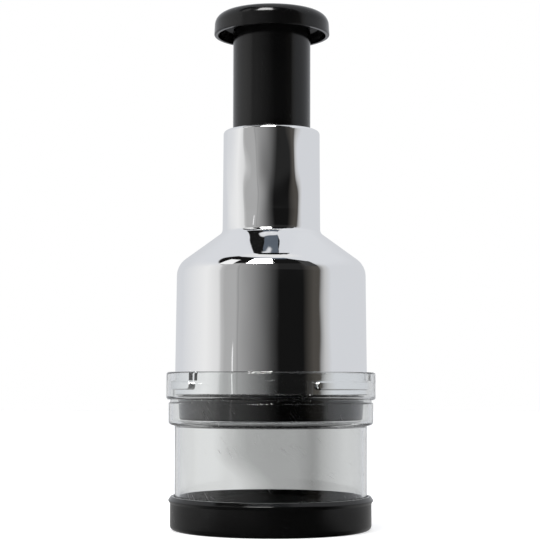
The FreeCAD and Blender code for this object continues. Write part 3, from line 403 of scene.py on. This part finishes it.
# Cloudy noise with blotches about Size metres across, drawn out where Across or Up is under 1
blotches, blotch_in, blotch_out = new_group(
    "moulding_blotches", [("Size", 0.01), ("Detail", 3.0), ("Across", 1.0), ("Up", 1.0)], ["Value"])
blotch_scales = node_at(blotches, "ShaderNodeCombineXYZ")
feed(blotches, (blotch_in["Across"], blotch_in["Across"], blotch_in["Up"]), blotch_scales.inputs)
blotch_place = node_at(blotches, "ShaderNodeVectorMath", operation="MULTIPLY")
feed(blotches, (object_place(blotches), blotch_scales.outputs[0]), blotch_place.inputs)
blotch_noise = node_at(blotches, "ShaderNodeTexNoise")
blotches.links.new(blotch_place.outputs[0], blotch_noise.inputs["Vector"])
blotches.links.new(calc(blotches, "DIVIDE", 1.0, blotch_in["Size"]), blotch_noise.inputs["Scale"])
blotches.links.new(blotch_in["Detail"], blotch_noise.inputs["Detail"])
blotches.links.new(blotch_noise.outputs["Fac"], blotch_out["Value"])


def swirl(tree, size, detail=3.0, across=1.0, up=1.0):
    """Blotches about size metres across."""
    return place_group(tree, blotches, Size=size, Detail=detail, Across=across, Up=up)["Value"]


# Round specks, one in each cell about Spacing metres wide; Share of the cells have one
dust, dust_in, dust_out = new_group(
    "dust_specks", [("Spacing", 0.01), ("Speck Size", 0.00012), ("Share", 0.3)], ["Mask"])
dust_cells = node_at(dust, "ShaderNodeTexVoronoi", feature="F1")
dust.links.new(object_place(dust), dust_cells.inputs["Vector"])
dust.links.new(calc(dust, "DIVIDE", 1.0, dust_in["Spacing"]), dust_cells.inputs["Scale"])
speck_edge = calc(dust, "DIVIDE", dust_in["Speck Size"], dust_in["Spacing"])
speck = calc(dust, "LESS_THAN", dust_cells.outputs["Distance"], speck_edge)
dust_pick = node_at(dust, "ShaderNodeSeparateColor")
dust.links.new(dust_cells.outputs["Color"], dust_pick.inputs[0])
chosen = calc(dust, "LESS_THAN", dust_pick.outputs[0], dust_in["Share"])
dust.links.new(calc(dust, "MULTIPLY", speck, chosen), dust_out["Mask"])

# Thin curved scratches, in loose groups; Turn sets their main direction and Share how wide they are
bend_scale = 12.0
bend_reach = 1.2
group_scale = 90.0
hairlines, hair_in, hair_out = new_group(
    "hairline_scratches",
    [("Length Scale", 60.0), ("Fineness", 14.0), ("Turn", 0.4), ("Share", 0.06)],
    ["Mask"])
hair_place = object_place(hairlines)
hair_bend = node_at(hairlines, "ShaderNodeTexNoise")
feed(hairlines, (hair_place, bend_scale), (hair_bend.inputs["Vector"], hair_bend.inputs["Scale"]))
hair_turn = node_at(hairlines, "ShaderNodeVectorRotate", rotation_type="Y_AXIS")
hair_angle = calc(hairlines, "ADD", hair_in["Turn"],
                  calc(hairlines, "MULTIPLY", hair_bend.outputs["Fac"], bend_reach))
feed(hairlines, (hair_place, hair_angle), (hair_turn.inputs["Vector"], hair_turn.inputs["Angle"]))
hair_sizes = node_at(hairlines, "ShaderNodeCombineXYZ")
feed(hairlines, (calc(hairlines, "MULTIPLY", hair_in["Length Scale"], hair_in["Fineness"]),
                 hair_in["Length Scale"], hair_in["Length Scale"]), hair_sizes.inputs)
hair_stretch = node_at(hairlines, "ShaderNodeVectorMath", operation="MULTIPLY")
feed(hairlines, (hair_turn.outputs[0], hair_sizes.outputs[0]), hair_stretch.inputs)
hair_noise = node_at(hairlines, "ShaderNodeTexNoise")
feed(hairlines, (hair_stretch.outputs[0], 1.0, 1.0),
     (hair_noise.inputs["Vector"], hair_noise.inputs["Scale"], hair_noise.inputs["Detail"]))
hair_line = calc(hairlines, "ABSOLUTE", calc(hairlines, "SUBTRACT", hair_noise.outputs["Fac"], 0.5))
hair_thin = calc(hairlines, "LESS_THAN", hair_line, calc(hairlines, "MULTIPLY", hair_in["Share"], 0.05))
hair_gate = node_at(hairlines, "ShaderNodeTexNoise")
feed(hairlines, (hair_place, group_scale), (hair_gate.inputs["Vector"], hair_gate.inputs["Scale"]))
hair_open = soft_step(hairlines, hair_gate.outputs["Fac"], 0.58, 0.66)
hairlines.links.new(calc(hairlines, "MULTIPLY", hair_thin, hair_open), hair_out["Mask"])

# Polished black plastic; Handling is how much the polish has been dulled
polish, polish_in, polish_out = new_group(
    "handled_polish", [("Handling", 0.0)], ["Color", "Roughness", "Height"])
polish_specks = place_group(polish, dust, Spacing=0.009, Speck_Size=0.00016, Share=0.22)["Mask"]
polish_lines = place_group(polish, hairlines, Length_Scale=40.0, Fineness=16.0, Turn=0.3,
                           Share=0.05)["Mask"]
deep_black = linear(13)
faded_black = linear(17)
dust_grey = linear(150)
dust_cover = 0.5
fresh_polish = 0.1
rubbed_polish = 0.17
scratch_dulling = 0.2
scratch_share = 0.3
polish_colour = mixed(polish, swirl(polish, 0.03), deep_black, faded_black)
polish_colour = mixed(polish, calc(polish, "MULTIPLY", polish_specks, dust_cover), polish_colour, dust_grey)
polish.links.new(polish_colour, polish_out["Color"])
rubbed = ramped(polish, swirl(polish, 0.006), fresh_polish, rubbed_polish)
dulled = calc(polish, "ADD", rubbed, polish_in["Handling"])
polish_roughness = calc(polish, "MULTIPLY_ADD", polish_lines, scratch_dulling, dulled)
polish.links.new(polish_roughness, polish_out["Roughness"])
scratch_height = calc(polish, "MULTIPLY", polish_lines, scratch_share)
polish_height = calc(polish, "SUBTRACT", swirl(polish, 0.012, detail=1.0), scratch_height)
polish.links.new(polish_height, polish_out["Height"])


def new_finish(name):
    """A material with its node tree and its Principled shader."""
    finish = bpy.data.materials.new(name)
    finish.use_nodes = True
    return finish, finish.node_tree, finish.node_tree.nodes["Principled BSDF"]


def relief(tree, shader, height, depth):
    """Bumps depth metres deep."""
    bump = node_at(tree, "ShaderNodeBump")
    bump.inputs["Distance"].default_value = depth
    bump.inputs["Strength"].default_value = 1.0
    tree.links.new(height, bump.inputs["Height"])
    tree.links.new(bump.outputs[0], shader.inputs["Normal"])


def wear(node_name, finish):
    """Puts one finish over every face of a CAD piece."""
    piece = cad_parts[node_name]
    for slot in piece.material_slots:
        slot.material = finish
    if not piece.material_slots:
        piece.data.materials.append(finish)


black_plastic_ior = 1.43
handling_depth = 0.00002


def black_moulding(name, handling):
    """A black finish, with the outputs of its polish."""
    finish, tree, shader = new_finish(name)
    polished = place_group(tree, polish, Handling=handling)
    tree.links.new(polished["Color"], shader.inputs["Base Color"])
    tree.links.new(polished["Roughness"], shader.inputs["Roughness"])
    relief(tree, shader, polished["Height"], handling_depth)
    shader.inputs["IOR"].default_value = black_plastic_ior
    return finish, polished


no_wear = 0.0
satin_wear = 0.1
gloss_black = black_moulding("gloss_black_abs", no_wear)[0]
for piece_name in ("press_knob", "plunger_stem", "neck_guide_sleeve"):
    wear(piece_name, gloss_black)
satin_black = black_moulding("satin_black_abs", satin_wear)[0]
for piece_name in ("stripper_plate", "blade_carrier"):
    wear(piece_name, satin_black)

# Base
# One black ABS moulding that closes the cup from below, with the same gloss outside. The raised board
# inside takes the blade, so its polish is dulled and it is covered in cuts.
board_height = 0.0066
board_radius = 0.0402
board_edge = 0.0004
board_rise = 0.0003
board_dark = linear(24)
board_rubbed = linear(40)
cut_grey = linear(120)
base_finish, base_polish = black_moulding("base_black_abs", no_wear)
base_tree = base_finish.node_tree
base_shader = base_tree.nodes["Principled BSDF"]
base_x, base_y, base_z = object_axes(base_tree)
base_away = calc(base_tree, "SQRT", calc(base_tree, "ADD", calc(base_tree, "MULTIPLY", base_x, base_x),
                                         calc(base_tree, "MULTIPLY", base_y, base_y)))
board = calc(base_tree, "MULTIPLY", soft_step(base_tree, base_z, board_height - board_rise, board_height),
             soft_step(base_tree, base_away, board_radius, board_radius - board_edge))
cuts = place_group(base_tree, hairlines, Length_Scale=34.0, Fineness=12.0, Turn=1.1, Share=0.5)["Mask"]
board_colour = mixed(base_tree, swirl(base_tree, 0.012), board_dark, board_rubbed)
board_colour = mixed(base_tree, cuts, board_colour, cut_grey)
base_tree.links.new(mixed(base_tree, board, base_polish["Color"], board_colour),
                    base_shader.inputs["Base Color"])
board_worn = ramped(base_tree, swirl(base_tree, 0.004), 0.3, 0.42)
board_dullness = calc(base_tree, "MULTIPLY_ADD", cuts, scratch_dulling, board_worn)
board_step = calc(base_tree, "SUBTRACT", board_dullness, base_polish["Roughness"])
base_tree.links.new(calc(base_tree, "MULTIPLY_ADD", board, board_step, base_polish["Roughness"]),
                    base_shader.inputs["Roughness"])
wear("base_lid", base_finish)

# Clear cup
# Open tube of injection-moulded styrene-acrylonitrile, water clear, that stands in the groove of the base.
# It has faint flow marks from the mould, and hairlines and dust from use.
clear_ior = 1.5
flow_mark_depth = 0.00008
clear_tint = (0.975, 0.985, 0.982, 1.0)
mark_tint = (0.8, 0.8, 0.8, 1.0)
mark_dulling = 0.3
clear, clear_tree, clear_shader = new_finish("clear_moulding")
clear_shader.inputs["Transmission Weight"].default_value = 1.0
clear_shader.inputs["IOR"].default_value = clear_ior
clear_lines = place_group(clear_tree, hairlines, Length_Scale=26.0, Fineness=22.0, Turn=0.2,
                          Share=0.08)["Mask"]
clear_dust = place_group(clear_tree, dust, Spacing=0.011, Speck_Size=0.00014, Share=0.25)["Mask"]
clear_marks = calc(clear_tree, "MAXIMUM", clear_lines, clear_dust)
clear_colour = mixed(clear_tree, clear_marks, clear_tint, mark_tint)
clear_tree.links.new(clear_colour, clear_shader.inputs["Base Color"])
clear_dullness = ramped(clear_tree, swirl(clear_tree, 0.02), 0.0, 0.04)
clear_tree.links.new(calc(clear_tree, "MULTIPLY_ADD", clear_marks, mark_dulling, clear_dullness),
                     clear_shader.inputs["Roughness"])
relief(clear_tree, clear_shader, swirl(clear_tree, 0.018, detail=1.0, up=0.4), flow_mark_depth)
wear("clear_cup", clear)

# Chromed housing
# One ABS shell, vacuum plated to a mirror. The plating follows the slight waves of the moulding, most on
# the neck, and carries pinholes and fine marks from handling.
shoulder_top = 0.125
neck_foot = 0.14
skirt_wave_share = 0.1
wave_width = 0.016
wave_depth = 0.0021
plating_dark = (0.96, 0.965, 0.97, 1.0)
plating_bright = (0.985, 0.985, 0.99, 1.0)
pinhole_grey = linear(90)
pinhole_cover = 0.6
plate_scratch_dulling = 0.15
chrome, chrome_tree, chrome_shader = new_finish("mirror_plating")
chrome_shader.inputs["Metallic"].default_value = 1.0
pinholes = place_group(chrome_tree, dust, Spacing=0.012, Speck_Size=0.00018, Share=0.3)["Mask"]
chrome_lines = place_group(chrome_tree, hairlines, Length_Scale=30.0, Fineness=20.0, Turn=0.1,
                           Share=0.05)["Mask"]
plate_colour = mixed(chrome_tree, swirl(chrome_tree, 0.05), plating_dark, plating_bright)
plate_colour = mixed(chrome_tree, calc(chrome_tree, "MULTIPLY", pinholes, pinhole_cover), plate_colour,
                     pinhole_grey)
chrome_tree.links.new(plate_colour, chrome_shader.inputs["Base Color"])
plate_dullness = ramped(chrome_tree, swirl(chrome_tree, 0.02), 0.02, 0.05)
plate_roughness = calc(chrome_tree, "MULTIPLY_ADD", chrome_lines, plate_scratch_dulling, plate_dullness)
chrome_tree.links.new(plate_roughness, chrome_shader.inputs["Roughness"])
up_to_neck = soft_step(chrome_tree, object_axes(chrome_tree)[2], shoulder_top, neck_foot)
wave_share = ramped(chrome_tree, up_to_neck, skirt_wave_share, 1.0)
waves = calc(chrome_tree, "MULTIPLY", swirl(chrome_tree, wave_width, detail=1.0, up=0.45), wave_share)
relief(chrome_tree, chrome_shader, waves, wave_depth)
wear("chrome_housing", chrome)

# Inner mouldings
# Guide plate, index ring, drive ring, cam and ratchet ring are natural acetal, injection moulded, waxy and
# off-white.
grain_depth = 0.00001
acetal_pale = linear((226, 224, 216))
acetal_waxy = linear((214, 211, 202))
acetal, acetal_tree, acetal_shader = new_finish("natural_acetal")
acetal_colour = mixed(acetal_tree, swirl(acetal_tree, 0.01), acetal_pale, acetal_waxy)
acetal_tree.links.new(acetal_colour, acetal_shader.inputs["Base Color"])
acetal_dullness = ramped(acetal_tree, swirl(acetal_tree, 0.002), 0.35, 0.5)
acetal_tree.links.new(acetal_dullness, acetal_shader.inputs["Roughness"])
relief(acetal_tree, acetal_shader, swirl(acetal_tree, 0.0012), grain_depth)
acetal_shader.inputs["Subsurface Weight"].default_value = 0.15
acetal_shader.inputs["Subsurface Scale"].default_value = 0.002
for piece_name in ("guide_plate", "index_ring", "drive_ring", "spindle_cam", "carrier_ratchet_ring"):
    wear(piece_name, acetal)

# Steel fittings
# Spindle, screws, washer, clip and pin are drawn or turned steel, with fine lines round them from the die
# or the lathe.
drawn_dark = linear(150)
drawn_bright = linear(185)
drawn, drawn_tree, drawn_shader = new_finish("drawn_steel")
drawn_shader.inputs["Metallic"].default_value = 1.0
drawn_grain = swirl(drawn_tree, 0.0008, detail=2.0, across=0.2, up=3.0)
drawn_colour = mixed(drawn_tree, drawn_grain, drawn_dark, drawn_bright)
drawn_tree.links.new(drawn_colour, drawn_shader.inputs["Base Color"])
drawn_tree.links.new(ramped(drawn_tree, drawn_grain, 0.2, 0.38), drawn_shader.inputs["Roughness"])
relief(drawn_tree, drawn_shader, drawn_grain, grain_depth)
for piece_name in ("spindle", "knob_screw", "spring_seat_washer", "spindle_clip", "carrier_pin",
                   "guide_plate_screw_1", "guide_plate_screw_2", "guide_plate_screw_3"):
    wear(piece_name, drawn)

# Return spring
# One coil of drawn wire between the guide plate and the washer in the stem. It is wound here again and hung
# on the plunger, in place of the CAD spring.
spring_low, spring_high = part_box("return_spring")
wire_radius = 0.0009
coil_radius = 0.0113
coil_turns = 12
steps_per_turn = 32
wire_sides = 10
spring_length = spring_high.z - spring_low.z
coil_rise = spring_length - 2 * wire_radius
step_total = coil_turns * steps_per_turn
spring_points = []
for step in range(step_total + 1):
    turn = 2 * math.pi * step / steps_per_turn
    wire_height = spring_low.z + wire_radius + coil_rise * step / step_total
    for side in range(wire_sides):
        around = 2 * math.pi * side / wire_sides
        reach = coil_radius + wire_radius * math.cos(around)
        spring_points.append((reach * math.cos(turn), reach * math.sin(turn),
                              wire_height + wire_radius * math.sin(around)))
spring_faces = []
for step in range(step_total):
    for side in range(wire_sides):
        here = step * wire_sides + side
        beside = step * wire_sides + (side + 1) % wire_sides
        spring_faces.append((here, here + wire_sides, beside + wire_sides, beside))
spring_faces.append(tuple(range(wire_sides)))
spring_faces.append(tuple(reversed(range(step_total * wire_sides, (step_total + 1) * wire_sides))))
spring_mesh = bpy.data.meshes.new("wound_spring")
spring_mesh.from_pydata(spring_points, [], spring_faces)
spring_mesh.polygons.foreach_set("use_smooth", [True] * len(spring_mesh.polygons))
spring_mesh.materials.append(drawn)
wound_spring = bpy.data.objects.new("wound_spring", spring_mesh)
bpy.context.scene.collection.objects.link(wound_spring)
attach(wound_spring, "plunger")
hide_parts("return_spring")
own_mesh(wound_spring)

# Chopping blade
# One strip of rolled stainless steel, folded into a zigzag and held at its top by the black carrier. It is
# brushed along its length, and the cutting edge along its foot is ground brighter.
edge_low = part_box("chopping_blade")[0].z
ground_height = 0.0012
ground_fade = 0.0006
blade_dark = linear(195)
blade_bright = linear(222)
edge_bright = linear(240)
blade, blade_tree, blade_shader = new_finish("ground_stainless")
blade_shader.inputs["Metallic"].default_value = 1.0
blade_grain = swirl(blade_tree, 0.0006, detail=2.0, across=0.15, up=4.0)
ground = soft_step(blade_tree, object_axes(blade_tree)[2], edge_low + ground_height + ground_fade,
                   edge_low + ground_height)
blade_colour = mixed(blade_tree, blade_grain, blade_dark, blade_bright)
blade_colour = mixed(blade_tree, ground, blade_colour, edge_bright)
blade_tree.links.new(blade_colour, blade_shader.inputs["Base Color"])
blade_tree.links.new(ramped(blade_tree, blade_grain, 0.34, 0.5), blade_shader.inputs["Roughness"])
relief(blade_tree, blade_shader, blade_grain, grain_depth)
wear("chopping_blade", blade)
